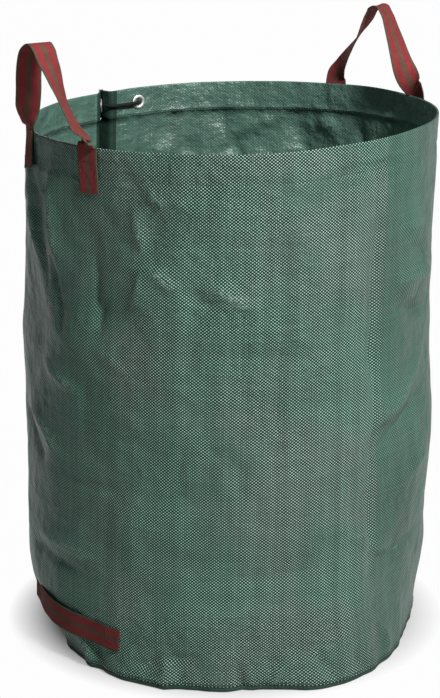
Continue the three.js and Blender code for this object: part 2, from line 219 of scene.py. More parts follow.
# Folds: from angle and height, to angle and height, half width, height out of the wall
FOLDS = [
    (197, 0.840, 206, 0.640, 0.014, 0.0102),
    (203, 0.800, 212, 0.610, 0.011, -0.0093),
    (210.5, 0.840, 217, 0.660, 0.013, 0.0093),
    (214, 0.700, 219.5, 0.560, 0.010, -0.0102),
    (243.5, 0.790, 247.5, 0.700, 0.008, 0.0085),
    (247.5, 0.700, 243, 0.610, 0.008, 0.0076),
    (229.5, 0.705, 233, 0.600, 0.012, -0.0102),
    (236, 0.640, 231, 0.560, 0.010, -0.0076),
    (246, 0.812, 254, 0.786, 0.010, 0.0078),
    (254, 0.786, 258, 0.800, 0.007, 0.0061),
    (248, 0.690, 257, 0.662, 0.010, 0.0102),
    (262, 0.672, 277.8, 0.630, 0.010, 0.0099),
    (257, 0.660, 268, 0.628, 0.007, -0.0068),
    (257, 0.425, 257.1, 0.300, 0.007, -0.0058),
    (272.9, 0.390, 273, 0.310, 0.007, -0.0051),
    (282, 0.560, 281, 0.430, 0.010, -0.0044),
    (297, 0.830, 321, 0.829, 0.007, -0.0054),
    (311.5, 0.780, 312, 0.430, 0.010, -0.0136),
    (312, 0.480, 313, 0.100, 0.010, -0.0110),
    (309, 0.395, 344, 0.520, 0.024, 0.0135),
    (311, 0.350, 341, 0.445, 0.018, -0.0122),
    (318, 0.300, 344, 0.325, 0.016, 0.0090),
    (316, 0.600, 341, 0.565, 0.011, -0.0115),
    (318, 0.640, 342, 0.630, 0.017, 0.0136),
    (318, 0.740, 340, 0.690, 0.010, 0.0068),
    (322, 0.700, 346, 0.640, 0.008, -0.0068),
    (314, 0.172, 342, 0.196, 0.012, -0.0102),
    (298, 0.262, 336, 0.148, 0.014, 0.0093),
    (262, 0.182, 300, 0.206, 0.012, -0.0065),
    (188, 0.400, 214, 0.330, 0.012, -0.0102),
    (196, 0.430, 222, 0.350, 0.017, 0.0102),
    (214, 0.330, 244, 0.310, 0.014, -0.0061),
    (196, 0.172, 225, 0.171, 0.012, -0.0102),
    (204, 0.210, 234, 0.190, 0.017, 0.0085),
    (244, 0.030, 253.2, 0.046, 0.006, -0.0090),
    (253.2, 0.046, 262.5, 0.058, 0.006, -0.0090),
    (252.9, 0.048, 253.2, 0.000, 0.006, 0.0083),
    (258, 0.040, 257, 0.004, 0.005, -0.0060),
    (272.7, 0.052, 275, 0.002, 0.006, -0.0090),
    (276.5, 0.040, 277.5, 0.004, 0.006, 0.0075),
    (281.4, 0.008, 285.8, 0.044, 0.006, 0.0075),
    (222.7, 0.057, 229.5, 0.012, 0.007, 0.0105),
    (228.5, 0.050, 234, 0.012, 0.006, -0.0075),
    (292, 0.070, 300, 0.012, 0.007, -0.0083),
    (304, 0.060, 309, 0.010, 0.007, -0.0075),
    (316, 0.080, 322, 0.012, 0.010, 0.0102),
    (231, 0.560, 246, 0.500, 0.012, 0.0061),
    (262, 0.560, 300, 0.545, 0.014, -0.0041),
    (250, 0.500, 275, 0.470, 0.017, 0.0041),
    (206, 0.520, 228, 0.455, 0.014, 0.0093),
    (69.8, 0.822, 90, 0.768, 0.011, -0.0145),
    (73, 0.800, 96, 0.735, 0.012, 0.0102),
    (62.5, 0.816, 54, 0.776, 0.011, -0.0119),
    (71, 0.830, 66, 0.700, 0.012, 0.0102),
    (94.8, 0.822, 90, 0.772, 0.010, 0.0110),
    (90, 0.772, 85, 0.700, 0.010, 0.0102),
    (104, 0.815, 112, 0.730, 0.012, -0.0085),
    (110, 0.800, 100, 0.740, 0.010, 0.0076),
    (50, 0.812, 44, 0.740, 0.011, 0.0085),
    (36, 0.800, 18, 0.720, 0.014, 0.0102),
    (60, 0.560, 92, 0.470, 0.019, 0.0119),
    (10, 0.480, 40, 0.400, 0.019, -0.0119),
    (120, 0.420, 100, 0.330, 0.017, 0.0102),
    (150, 0.620, 176, 0.560, 0.017, 0.0102),
    (160, 0.300, 190, 0.250, 0.017, -0.0102),
    (20, 0.120, 52, 0.070, 0.014, 0.0102),
    (70, 0.060, 96, 0.110, 0.012, -0.0090),
    (140, 0.120, 166, 0.060, 0.014, 0.0102),
]

# What cleft_plan and webbing_strip return
Cleft = namedtuple("Cleft", "scale half way side left right left_end right_end")
Strip = namedtuple("Strip", "piece line width face")


# Shape of the wall
def wall_radius(z):
    share = z / BAG_HEIGHT
    return BASE_RADIUS + (MOUTH_RADIUS - BASE_RADIUS) * share + SIDE_BULGE * np.sin(np.pi * share)


def ease(value, low, high):
    share = np.clip((value - low) / (high - low), 0, 1)
    return share * share * (3 - 2 * share)


def settled(points):
    """The mouth leans right and its right side is higher, as in the CAD part."""
    rise = points[..., 2] / BAG_HEIGHT
    moved = points.copy()
    moved[..., 0] = points[..., 0] + MOUTH_SHIFT * rise
    moved[..., 2] = points[..., 2] + rise * points[..., 0] * math.tan(MOUTH_TILT)
    return moved


def angle_apart(angle, other):
    return (angle - other + 180) % 360 - 180


def rumple(angle, z, cells_round, cell_height, seed):
    """Smooth unevenness between -1 and 1 that closes up round the tub."""
    levels = np.random.default_rng(seed).uniform(-1, 1, (cells_round, 64))
    across = (angle % 360) / 360 * cells_round
    up = np.clip(z / cell_height + 2, 0, 61)
    i, j = np.floor(across).astype(int), np.floor(up).astype(int)
    s, t = ease(across - i, 0, 1), ease(up - j, 0, 1)
    i, k = i % cells_round, (i + 1) % cells_round
    low = levels[i, j] * (1 - s) + levels[k, j] * s
    high = levels[i, j + 1] * (1 - s) + levels[k, j + 1] * s
    return low * (1 - t) + high * t


def waver(angle, cells_round, seed):
    """Unevenness round the tub that is the same at every height."""
    return rumple(angle, angle * 0, cells_round, 1, seed)


def swell_out(angle, z):
    """Broad swells and dents, each a smooth mound on the unrolled cloth."""
    out = np.zeros_like(z)
    for at, height, half_round, half_up, depth in SWELLS:
        away = (angle_apart(angle, at) / half_round) ** 2 + ((z - height) / half_up) ** 2
        out += depth * np.exp(-away)
    return out


def fold_out(angle, z):
    """Each fold is a line on the unrolled cloth with a sharp crest or a sharp valley."""
    out = np.zeros_like(z)
    per_degree = math.pi * MOUTH_RADIUS / 180
    for a0, z0, a1, z1, width, height in FOLDS:
        run = np.array([angle_apart(a1, a0) * per_degree, z1 - z0])
        length = math.hypot(*run)
        way = run / length
        s = angle_apart(angle, a0) * per_degree
        t = (s * way[0] + (z - z0) * way[1]) / length
        side = (z - z0) * way[0] - s * way[1]
        wander = 0.25 * width * np.sin(7 * t + 40 * a0)
        fade = ease(t, -0.08, 0.35) * (1 - ease(t, 0.65, 1.08))
        crest = np.exp(-np.sqrt((side - wander) ** 2 + (0.12 * width) ** 2) / width)
        out += height * fade * crest
    return out


def hem_out(angle, z):
    """The stitched hem: a groove at the stitch line and small puckers above and below it."""
    groove = -HEM_GROOVE * np.exp(-((z - HEM_LINE) / 0.004) ** 2)
    pucker = HEM_PUCKER * waver(angle, 110, 5) * np.exp(-((z - HEM_LINE) / 0.016) ** 2)
    return groove + pucker


def foot_out(angle, z):
    """Small pleats where the wall is gathered into the base seam."""
    return FOOT_PLEAT * waver(angle, 84, 8) * np.exp(-(z / 0.030) ** 2)


def wall_out(angle, z):
    """How far the cloth stands out of the plain tub. The hoop keeps the mouth calm."""
    calm = 1 - MOUTH_CALM * ease(z, BAG_HEIGHT - 0.055, BAG_HEIGHT)
    shape = swell_out(angle, z) + fold_out(angle, z)
    for cells, height, seed, depth in RUMPLES:
        shape = shape + depth * rumple(angle, z, cells, height, seed)
    rim = RIM_WAVER * waver(angle, 16, 4)
    return calm * shape + rim + hem_out(angle, z) + foot_out(angle, z)


def rim_lift(angle, z):
    """The front of the mouth sags a little and its edge is not quite level."""
    front = -RIM_SAG * np.exp(-(angle_apart(angle, 275) / 40) ** 2)
    uneven = RIM_UNEVEN * waver(angle, 24, 6)
    return (front + uneven) * ease(z, 0.5, BAG_HEIGHT)


def on_wall(angle, z, out):
    """Points that far out of the cloth's outer face."""
    angle, z = np.broadcast_arrays(np.asarray(angle, float), np.asarray(z, float))
    reach = wall_radius(z) + wall_out(angle, z) + out
    turn = np.radians(angle)
    flat = np.stack([reach * np.cos(turn), reach * np.sin(turn), z + rim_lift(angle, z)], -1)
    return settled(flat)


def outward(angle):
    return np.array([math.cos(math.radians(angle)), math.sin(math.radians(angle)), 0.0])


def sideways(angle):
    return np.array([-math.sin(math.radians(angle)), math.cos(math.radians(angle)), 0.0])


def cleft_scale(z):
    return CLEFT_AT_BASE + (1 - CLEFT_AT_BASE) * float(ease(z, 0, BAG_HEIGHT - HEM_DEPTH))


def fin_spread(z):
    """Half the distance between the fins, which is wider at the hem and at the base."""
    top = FIN_AT_HEM * float(ease(z, BAG_HEIGHT - 0.062, BAG_HEIGHT - 0.051))
    low = FIN_AT_BASE * (1 - float(ease(z, 0.02, 0.078)))
    return CLOTH_TURN + max(top, low)


def bend(before, corner, after, steps):
    """A rounded corner between two points."""
    t = np.linspace(0, 1, steps + 1)[:, None]
    return (1 - t) ** 2 * before + 2 * t * (1 - t) * corner + t ** 2 * after


def cleft_plan(z):
    """Corners of the cleft in plan, as distance along the wall and distance out of it."""
    scale = cleft_scale(z)
    half = CLEFT_MOUTH / 2 * scale
    way = np.array([-math.sin(CLEFT_LEAN), math.cos(CLEFT_LEAN)])
    side = np.array([math.cos(CLEFT_LEAN), math.sin(CLEFT_LEAN)])
    left = np.array([half, -(half ** 2) / (2 * float(wall_radius(z)))])
    right = np.array([-half, left[1]])
    left_end = left + way * CLEFT_FLANK * scale
    right_end = left_end - side * 2 * fin_spread(z)
    return Cleft(scale, half, way, side, left, right, left_end, right_end)


def seam_place(z, spot):
    """Place in plan of a spot that is given beside the seam."""
    reach = float(wall_radius(z)) + spot[..., 1:2]
    return reach * outward(SEAM_ANGLE)[:2] + spot[..., 0:1] * sideways(SEAM_ANGLE)[:2]


def toward(start, end, distance):
    run = end - start
    return start + run / np.linalg.norm(run) * distance


def panel_plan(z):
    """The cloth's outer face at one height, its angle and how freely each column may swell."""
    cleft = cleft_plan(z)
    back = CLEFT_CORNER * cleft.scale
    radius = float(wall_radius(z))
    start = math.degrees((cleft.half + back) / radius)
    angles = SEAM_ANGLE + np.linspace(start, 360 - start, ARC_COLUMNS + 1)
    arc = radius * np.stack([np.cos(np.radians(angles)), np.sin(np.radians(angles))], -1)
    tip, fin_back = cleft.way * FIN_WIDTH, cleft.way * FIN_BACK * cleft.scale
    left_start = toward(cleft.left, cleft.left_end, back)
    right_start = toward(cleft.right, cleft.right_end, back)
    first = seam_place(z, np.array([cleft.left_end + tip, cleft.left_end + fin_back]))
    left_run = seam_place(z, np.linspace(cleft.left_end, left_start, 7))
    left_bend = bend(left_run[-1], seam_place(z, cleft.left), arc[0], 6)
    right_bend = bend(arc[-1], seam_place(z, cleft.right), seam_place(z, right_start), 6)
    right_run = seam_place(z, np.linspace(right_start, cleft.right_end, 7))
    last = seam_place(z, np.array([cleft.right_end + fin_back, cleft.right_end + tip]))
    path = np.concatenate([first, left_run, left_bend[1:-1], arc, right_bend[1:], right_run[1:], last])
    lead = len(first) + len(left_run) + len(left_bend) - 2
    angle = np.full(len(path), float(SEAM_ANGLE))
    angle[lead:lead + len(arc)] = angles
    free = np.zeros(len(path))
    free[lead:lead + len(arc)] = ease(np.minimum(angles - angles[0], angles[-1] - angles), 0, 7)
    return path, angle, free


def plan_normals(path):
    step = np.gradient(path, axis=0)
    normal = np.stack([step[:, 1], -step[:, 0]], -1)
    return normal / np.linalg.norm(normal, axis=1, keepdims=True)


def wall_rows():
    """Heights and depths of the rows: up the outer face, over the rim, down the hem and inside."""
    round_top = HEM_STACK / 2
    foot = SEAM_HEIGHT + CLOTH_TURN
    hem_edge = BAG_HEIGHT - HEM_DEPTH
    rows = [(0.0, z) for z in np.linspace(foot, BAG_HEIGHT - round_top, OUTER_ROWS)]
    for turn in np.radians(np.linspace(160, 0, RIM_ROWS)):
        rows.append((round_top * (1 + math.cos(turn)), BAG_HEIGHT - round_top + round_top * math.sin(turn)))
    rows += [(HEM_STACK, z) for z in np.linspace(BAG_HEIGHT - 0.006, hem_edge + 0.0004, 10)]
    rows.append((HEM_STACK - 0.0005, hem_edge))
    rows += [(INNER_FACE, z) for z in np.linspace(hem_edge - 0.0003, foot, INNER_ROWS)]
    return rows + [(CLOTH_TURN, SEAM_HEIGHT), (0.0, foot)]


# Pieces
def linked(name, data):
    piece = bpy.data.objects.new(name, data)
    bpy.context.scene.collection.objects.link(piece)
    return piece


def smooth_piece(name, source, *materials):
    mesh = bpy.data.meshes.new(name)
    source.to_mesh(mesh)
    source.free()
    mesh.polygons.foreach_set("use_smooth", [True] * len(mesh.polygons))
    mesh.update()
    for material in materials:
        mesh.materials.append(material)
    return linked(name, mesh)


def set_map(source, name, spots):
    """A UV map that gives each point its own pair of values."""
    layer = source.loops.layers.uv.new(name)
    for face in source.faces:
        for loop in face.loops:
            loop[layer].uv = spots[loop.vert.index]


def mapped_grid(places, layout, fold_highlight=None):
    """A grid whose points go to the given places. Its unrolled layout in metres is its UV map, and
    how strong the painted highlight is at each point is a second one."""
    rows, columns = places.shape[:2]
    source = bmesh.new()
    bmesh.ops.create_grid(source, x_segments=columns - 1, y_segments=rows - 1, size=1)
    source.verts.ensure_lookup_table()
    for vertex, place in zip(source.verts, places.reshape(-1, 3)):
        vertex.co = place
    set_map(source, "weave", layout.reshape(-1, 2))
    if fold_highlight is not None:
        set_map(source, "fold_highlight", fold_highlight.reshape(-1, 2))
    bmesh.ops.remove_doubles(source, verts=source.verts, dist=MERGE_DISTANCE)
    return source


def close_ends(source):
    bmesh.ops.holes_fill(source, edges=[e for e in source.edges if e.is_boundary], sides=0)
    bmesh.ops.recalc_face_normals(source, faces=source.faces)


def length_along(line):
    """Distance of each point from the first, along the line."""
    return np.concatenate([[0], np.cumsum(np.linalg.norm(np.diff(line, axis=0), axis=1))])


def painted_highlight_share(angle, level, free):
    """How strong the painted highlight on the crests of the folds is, from 0 to 1."""
    most = free * (1 - HIGHLIGHT_LOSS * ease(angle, HIGHLIGHT_FADE_FROM, HIGHLIGHT_FADE_TO))
    return most * np.clip((fold_out(angle, level) - FOLD_HIGHLIGHT_START) / (2 * FOLD_HIGHLIGHT_START), 0, 1)


def set_cloths(source, layout, free):
    """Outside, inside, and the inside of the cleft, darkened as a painted shade, take the first three
    materials.
    """
    weave = source.loops.layers.uv["weave"]
    along = layout[0, :, 0]
    turned = layout[OUTER_ROWS + RIM_ROWS // 2 - 1, 0, 1]
    cleft_start = along[np.argmax(free > 0)] - FLANK_MARGIN
    cleft_end = along[-1] - FIN_WIDTH - CLEFT_FLANK + FLANK_MARGIN
    for face in source.faces:
        spots = [loop[weave].uv for loop in face.loops]
        middle = sum(spot.x for spot in spots) / len(spots)
        in_cleft = middle < cleft_start or middle > cleft_end
        inside = spots[0].y > turned + 1e-5
        face.material_index = 2 if inside and in_cleft else int(inside)


def side_wall(outer_cloth, inner_cloth, shade_cloth):
    """One cloth, up the outside, over the rim, down the hem and down the inside."""
    rows = wall_rows()
    top_path, _, top_free = panel_plan(BAG_HEIGHT)
    places = np.zeros((len(rows), len(top_path), 3))
    layout = np.zeros((len(rows), len(top_path), 2))
    fold_highlight = np.zeros_like(layout)
    layout[:, :, 0] = length_along(top_path)
    layout[:, :, 1] = length_along(np.array(rows))[:, None]
    for i, (depth, z) in enumerate(rows):
        path, angle, free = panel_plan(min(z, BAG_HEIGHT))
        level = np.full(len(path), z)
        reach = free * wall_out(angle, level) - depth
        places[i, :, :2] = path + plan_normals(path) * reach[:, None]
        places[i, :, 2] = z + free * rim_lift(angle, level)
        # Painted highlight on the fold crests, kept in the second UV map
        fold_highlight[i, :, 0] = painted_highlight_share(angle, level, free)
    source = mapped_grid(settled(places), layout, fold_highlight)
    close_ends(source)
    set_cloths(source, layout, top_free)
    return smooth_piece("side_wall_cloth", source, outer_cloth, inner_cloth, shade_cloth)


def arc_points(r, h, radius, start, end, steps):
    turns = np.radians(np.linspace(start, end, steps + 1))
    return [(r + radius * math.cos(a), h + radius * math.sin(a)) for a in turns]


def base_panel(cloth):
    """Round bottom with its corner turned up to the wall seam, following the wall's foot."""
    flat = (0.0, 0.10, 0.22, 0.30)
    profile = [(radius, 0.0) for radius in flat]
    profile += arc_points(BASE_RADIUS - BASE_CORNER, BASE_CORNER, BASE_CORNER, -90, 0, 5)
    profile += [(BASE_RADIUS + 0.0002, BASE_LIP - 0.0004), (BASE_RADIUS - 0.0006, BASE_LIP)]
    inner = BASE_RADIUS - 0.0029
    profile += [(inner + 0.0002, BASE_LIP), (inner, BASE_ALLOWANCE), (inner - BASE_CLOTH, BASE_ALLOWANCE)]
    profile += [(inner - BASE_CLOTH, 0.007), (BASE_RADIUS - 0.005, 0.0035), (BASE_RADIUS - 0.009, 0.0012)]
    profile += [(radius, BASE_CLOTH) for radius in flat[::-1]]
    angle = np.linspace(0, 360, BASE_COLUMNS + 1)
    around = np.stack([np.cos(np.radians(angle)), np.sin(np.radians(angle))], -1)
    foot = wall_out(angle, np.full_like(angle, SEAM_HEIGHT))
    places = np.zeros((len(profile), len(angle), 3))
    layout = np.zeros((len(profile), len(angle), 2))
    for i, ((radius, z), along) in enumerate(zip(profile, length_along(np.array(profile)))):
        reach = radius + (radius / BASE_RADIUS) ** 8 * foot
        places[i, :, :2] = reach[:, None] * around
        places[i, :, 2] = z
        layout[i] = along * around
    source = mapped_grid(settled(places), layout)
    bmesh.ops.recalc_face_normals(source, faces=source.faces)
    return smooth_piece("base_cloth", source, cloth)


def catmull(points, t):
    """Point of a smooth curve through all the given points."""
    last = len(points) - 1
    i = min(int(t), last - 1)
    s = t - i
    p0, p1 = points[max(i - 1, 0)], points[i]
    p2, p3 = points[i + 1], points[min(i + 2, last)]
    a = 2 * p1
    b = (p2 - p0) * s
    c = (2 * p0 - 5 * p1 + 4 * p2 - p3) * s ** 2
    d = (3 * p1 - p0 - 3 * p2 + p3) * s ** 3
    return (a + b + c + d) / 2


def strip_section():
    """The strap's section, once round, from its lower left."""
    half, thick = WEB_WIDTH / 2, WEB_THICKNESS / 2
    inset = half - WEB_EDGE
    under = [(-inset, -thick)] + [(s * half, -thick) for s in np.linspace(-0.9, 0.9, 7)]
    right = [(inset, -thick), (half, -thick * 0.4), (half, thick * 0.4), (inset, thick)]
    top = [(s * half, thick) for s in np.linspace(0.9, -0.9, 7)]
    left = [(-inset, thick), (-half, thick * 0.4), (-half, -thick * 0.4), (-inset, -thick)]
    return under + right + top + left


def webbing_strip(name, middles, acrosses, material, steps=10):
    """A strap through stations: where its middle runs and the way its width lies."""
    count = (len(middles) - 1) * steps
    ts = [i / steps for i in range(count + 1)]
    line = np.array([catmull(middles, t) for t in ts])
    width = np.array([catmull(acrosses, t) for t in ts])
    forward = np.gradient(line, axis=0)
    forward /= np.linalg.norm(forward, axis=1, keepdims=True)
    width -= forward * np.sum(width * forward, axis=1, keepdims=True)
    width /= np.linalg.norm(width, axis=1, keepdims=True)
    face = np.cross(forward, width)
    section = strip_section()
    places = np.zeros((len(line), len(section), 3))
    layout = np.zeros((len(line), len(section), 2))
    for j, (w, t) in enumerate(section):
        places[:, j] = line + width * w + face * t
        layout[:, j, 0] = w
        layout[:, j, 1] = length_along(line)
    source = mapped_grid(places, layout)
    close_ends(source)
    return Strip(smooth_piece(name, source, material), line, width, face)


def mouth_handle(name, rear, front, stations, material):
    """A loop whose legs are sewn to the outside of the wall. Each foot has its angle at the rim,
    its angle at its sewn end and its sewn length. Each free station has its share of the half
    span, its height and lean, and the turn of its width in degrees."""
    middle = (rear[0] + front[0]) / 2
    half_span = (front[0] - rear[0]) / 2
    half_chord = MOUTH_RADIUS * math.sin(math.radians(half_span))
    footing = outward(middle) * (MOUTH_RADIUS * math.cos(math.radians(half_span)) + WEB_SEAT)
    middles, acrosses = [], []

    def leg(foot, turn, shares):
        at_rim, at_end, length = foot
        for share in shares:
            angle = at_rim + (at_end - at_rim) * share
            middles.append(on_wall(angle, BAG_HEIGHT - length * share, WEB_SEAT))
            acrosses.append(sideways(angle) * turn)

    sewn = (1, 0.75, 0.5, 0.25, 0.0)
    leg(rear, -1, sewn)
    for share, height, lean, turn in stations:
        spot = footing + sideways(middle) * share * half_chord + outward(middle) * lean
        spot[2] = BAG_HEIGHT + height
        middles.append(settled(spot))
        local = middle + share * half_span
        swing = math.radians(turn)
        acrosses.append(sideways(local) * math.cos(swing) + outward(local) * math.sin(swing))
    leg(front, 1, sewn[::-1])
    return webbing_strip(name, middles, acrosses, material)


def left_handle(material):
    rear = (197.0, 200.3, REAR_SEWN_LENGTH)
    front = (228.8, 229.3, SEWN_LENGTH)
    stations = [
        (-0.984, 0.0053, 0.002, 172),
        (-0.978, 0.0155, 0.005, 160),
        (-0.930, 0.0285, 0.008, 142),
        (-0.806, 0.0457, 0.012, 122),
        (-0.667, 0.0702, 0.017, 111),
        (-0.556, 0.0956, 0.022, 104),
        (-0.431, 0.1209, 0.026, 98),
        (-0.278, 0.1401, 0.029, 93),
        (-0.025, 0.1513, 0.03, 90),
        (0.124, 0.1420, 0.028, 88),
        (0.185, 0.1269, 0.025, 83),
        (0.250, 0.1134, 0.022, 76),
        (0.302, 0.0998, 0.019, 68),
        (0.349, 0.0845, 0.016, 59),
        (0.431, 0.0698, 0.014, 52),
        (0.513, 0.0549, 0.011, 50),
        (0.622, 0.0404, 0.008, 51),
        (0.765, 0.0272, 0.006, 55),
        (0.893, 0.0178, 0.004, 58),
        (0.994, 0.0113, 0.003, 48),
        (1.009, 0.0050, 0.001, 22),
    ]
    return mouth_handle("left_handle_webbing", rear, front, stations, material)


def right_handle(material):
    rear = (20.5, 20.5, SEWN_LENGTH)
    front = (57.0, 57.0, SEWN_LENGTH)
    stations = [
        (-0.926, 0.0078, 0, 170),
        (-0.854, 0.0137, 0, 163),
        (-0.778, 0.0212, 0.0003, 150),
        (-0.698, 0.0303, 0.0008, 134),
        (-0.620, 0.0412, 0.0015, 114),
        (-0.539, 0.0536, 0.0025, 97),
        (-0.450, 0.0686, 0.004, 87),
        (-0.352, 0.0850, 0.006, 80),
        (-0.217, 0.1053, 0.009, 73),
        (-0.083, 0.1258, 0.011, 69),
        (0.067, 0.1386, 0.012, 68),
        (0.224, 0.1374, 0.012, 72),
        (0.324, 0.1249, 0.012, 77),
        (0.389, 0.1117, 0.011, 76),
        (0.474, 0.0974, 0.01, 68),
        (0.565, 0.0838, 0.009, 59),
        (0.659, 0.0710, 0.008, 53),
        (0.786, 0.0536, 0.006, 45),
        (0.902, 0.0361, 0.004, 35),
        (0.960, 0.0244, 0.002, 24),
        (1.005, 0.0126, 0.001, 9),
    ]
    return mouth_handle("right_handle_webbing", rear, front, stations, material)


def lower_handle(material):
    """The grip low on the wall, slack enough for fingers."""
    middles, acrosses = [], []
    for share in np.linspace(-1, 1, 25):
        angle = GRIP_ANGLE + share * GRIP_HALF_SPAN
        z = GRIP_HEIGHT - share * GRIP_TILT
        away = min(abs(share + 0.12 * (1 - share ** 2)) / 0.76, 1)
        cloth = float(wall_radius(z)) + float(wall_out(np.array(angle), np.array(z)))
        spot = outward(angle) * (cloth + WEB_SEAT + GRIP_GAP + GRIP_SLACK * (1 - away ** 2) ** 2)
        spot[2] = z
        middles.append(settled(spot))
        acrosses.append(np.array([0, 0, 1.0]))
    return webbing_strip("lower_handle_webbing", middles, acrosses, material, steps=6)


def beside_seam(z, spot):
    return np.append(seam_place(z, spot[None, :])[0], z)


def eyelet_seat(side):
    """Where an eyelet goes through the hem and the way it points out of the bag."""
    z = BAG_HEIGHT - EYELET_DROP
    if side == "right":
        axis = outward(RIGHT_EYELET_ANGLE)
        spot = axis * float(wall_radius(z))
        spot[2] = z
    else:
        cleft = cleft_plan(z)
        axis = sideways(SEAM_ANGLE) * cleft.side[0] + outward(SEAM_ANGLE) * cleft.side[1]
        spot = beside_seam(z, cleft.left + cleft.way * LEFT_EYELET_REACH)
    return Vector(settled(spot)), Vector(axis).normalized()


def turned_ring(name, profile, seat, material):
    """A ring spun from a closed profile of radius and height along the eyelet's axis."""
    source = bmesh.new()
    corners = [source.verts.new((r, 0, h)) for r, h in profile]
    edges = [source.edges.new((a, b)) for a, b in zip(corners, corners[1:] + corners[:1])]
    bmesh.ops.spin(
        source, geom=corners + edges, cent=(0, 0, 0), axis=(0, 0, 1), angle=2 * math.pi,
        steps=RING_STEPS, use_merge=True, use_duplicate=False,
    )
    bmesh.ops.remove_doubles(source, verts=source.verts, dist=MERGE_DISTANCE)
    bmesh.ops.recalc_face_normals(source, faces=source.faces)
    spot, axis = seat
    place = Matrix.Translation(spot) @ axis.to_track_quat("Z", "Y").to_matrix().to_4x4()
    bmesh.ops.transform(source, matrix=place, verts=source.verts)
    return smooth_piece(name, source, material)


def eyelet(name, side, material):
    """Drawn tube with a domed flange inside the bag and a rolled lip outside."""
    under = -HEM_STACK - 0.0009
    tube = BORE_RADIUS + TUBE_WALL
    middle = (FLANGE_RADIUS + BORE_RADIUS) / 2
    spread = (FLANGE_RADIUS - BORE_RADIUS) / 2
    profile = [(tube, under), (FLANGE_RADIUS - 0.0003, under)]
    for turn in np.radians(np.linspace(-20, -160, 10)):
        dome = under - 0.0001 + FLANGE_DOME * math.sin(turn)
        profile.append((middle + spread * math.cos(turn), dome))
    profile += [(BORE_RADIUS, under + 0.0006), (BORE_RADIUS, 0.0014)]
    profile += arc_points(BORE_RADIUS + 0.0009, 0.0014, 0.0009, 180, 60, 5)
    profile += arc_points(tube + 0.0012, 0.0017, 0.0006, 60, -90, 5)
    profile += [(tube, 0.0012)]
    return turned_ring(name, profile, eyelet_seat(side), material)


def washer(name, side, material):
    """The flat ring outside the bag that the tube is rolled over."""
    hole, rim = BORE_RADIUS + 0.001, FLANGE_RADIUS
    low, high = 0.0003, 0.0011
    profile = [(hole, low), (rim, low), (rim, high - 0.0004), (rim - 0.0006, high), (hole, high)]
    return turned_ring(name, profile, eyelet_seat(side), material)


def knot_route(spot, axis, forward):
    """A tight overhand knot that ends a cord just outside its eyelet."""
    side = axis.cross(Vector((0, 0, 1))).normalized()
    up = side.cross(axis).normalized()
    points = []
    for t in np.linspace(0, 2 * math.pi, 23)[1:-1]:
        x = KNOT_SIZE * (math.sin(t) + 2 * math.sin(2 * t))
        y = KNOT_SIZE * (math.cos(t) - 2 * math.cos(2 * t))
        out = KNOT_OUT - KNOT_DEPTH * math.sin(3 * t)
        points.append(spot + axis * out + side * x + up * y)
    return points if forward else points[::-1]


def cord_route():
    """Points of the cord: knot, right eyelet, taut across the cleft inside, left eyelet, knot."""
    right, right_axis = eyelet_seat("right")
    left, left_axis = eyelet_seat("left")
    z = BAG_HEIGHT - EYELET_DROP
    down = Vector((0, 0, -1))
    inside = [Vector(settled(outward(a) * (MOUTH_RADIUS - d) + np.array([0, 0, z])))
              for a, d in ((121.6, 0.0128), (123.4, 0.0136), (125.4, 0.0136), (127.4, 0.0122))]
    mouth = [Vector(settled(beside_seam(z, np.array(spot))))
             for spot in ((-0.0105, -0.0095), (-0.006, -0.0045))]
    right_tail = [right + right_axis * 0.0155 + down * 0.024, right + right_axis * 0.014 + down * 0.015]
    left_tail = [left + left_axis * 0.014 + down * 0.015, left + left_axis * 0.0155 + down * 0.024]
    route = right_tail + knot_route(right, right_axis, True)
    route += [right + right_axis * 0.002, right - right_axis * 0.004, right - right_axis * 0.0085]
    route += inside + mouth
    route += [left - left_axis * 0.008, left - left_axis * 0.004, left + left_axis * 0.002]
    return route + knot_route(left, left_axis, False) + left_tail


def lashing_cord(material):
    """A round tube along the cord's route, made a mesh."""
    route = cord_route()
    curve = bpy.data.curves.new("lashing_cord_braid", "CURVE")
    curve.dimensions = "3D"
    curve.bevel_depth = CORD_RADIUS
    curve.bevel_resolution = 5
    curve.resolution_u = 6
    curve.use_fill_caps = True
    spline = curve.splines.new("BEZIER")
    spline.bezier_points.add(len(route) - 1)
    for point, place in zip(spline.bezier_points, route):
        point.co = place
        point.handle_left_type = point.handle_right_type = "AUTO"
    maker = linked("lashing_cord_maker", curve)
    bpy.context.view_layer.update()
    source = bmesh.new()
    source.from_mesh(bpy.data.meshes.new_from_object(maker))
    bpy.data.objects.remove(maker)
    return smooth_piece("lashing_cord_braid", source, material)


def stitch_run(name, spots, ways, radius, length, material):
    """Short threads, each lying along its own direction."""
    source = bmesh.new()
    for spot, way in zip(spots, ways):
        turn = Vector(way).to_track_quat("Z", "Y").to_matrix().to_4x4()
        bmesh.ops.create_cone(
            source, cap_ends=True, segments=6, radius1=radius, radius2=radius, depth=length,
            matrix=Matrix.Translation(Vector(spot)) @ turn,
        )
    return smooth_piece(name, source, material)


def ring_stitches(name, z, out, material):
    """One row of stitches round the tub, from one side of the seam to the other."""
    count = int(2 * math.pi * MOUTH_RADIUS / STITCH_SPACING)
    margin = 4.5
    angles = np.linspace(SEAM_ANGLE + margin, SEAM_ANGLE + 360 - margin, count)
    spots = on_wall(angles, z, out)
    ways = np.gradient(spots, axis=0)
    return stitch_run(name, spots, ways, STITCH_RADIUS, STITCH_SPACING * STITCH_SHARE, material)


